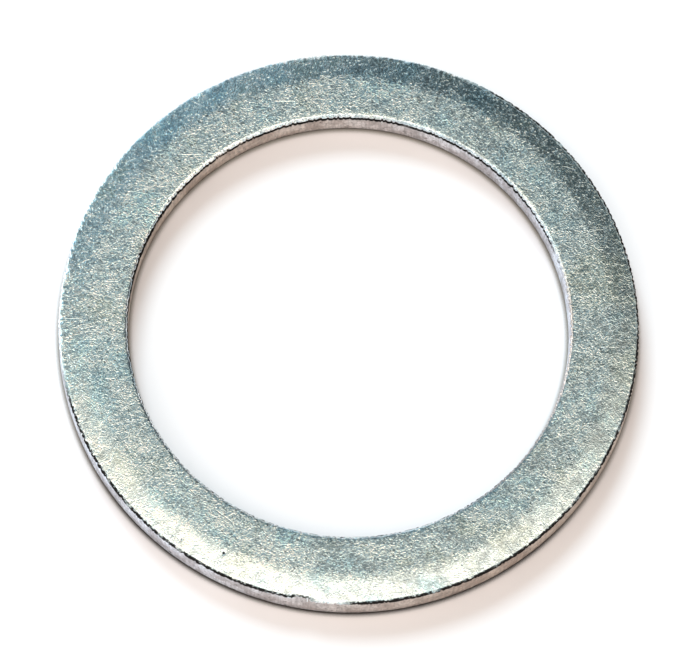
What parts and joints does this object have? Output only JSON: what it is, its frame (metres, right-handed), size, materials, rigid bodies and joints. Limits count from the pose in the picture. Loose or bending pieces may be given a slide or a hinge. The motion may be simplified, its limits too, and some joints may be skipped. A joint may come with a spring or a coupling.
{
  "type": "flat sealing washer",
  "caption": "Flat plain metal sealing ring with a round bore, clamped under the head of a threaded plug or a banjo fitting to seal it; its outer edge is drawn down to a broad shoulder on the upper face.",
  "frame": {"origin": "on the ring's axis, in the plane of the underside, on the surface that the ring lies on", "axes": "+Z along the ring's axis, from the underside to the upper face with the drawn-down shoulder; the ring is round, so +X and +Y are any two radii at right angles"},
  "size_m": [0.0239, 0.0238, 0.0015],
  "materials": {
    "ring_metal": "bright punched sheet, tumbled to a fine matt grain with light handling scratches"
  },
  "bodies": {
    "root": {"sealing_ring": "ring_metal"}
  },
  "joints": []
}
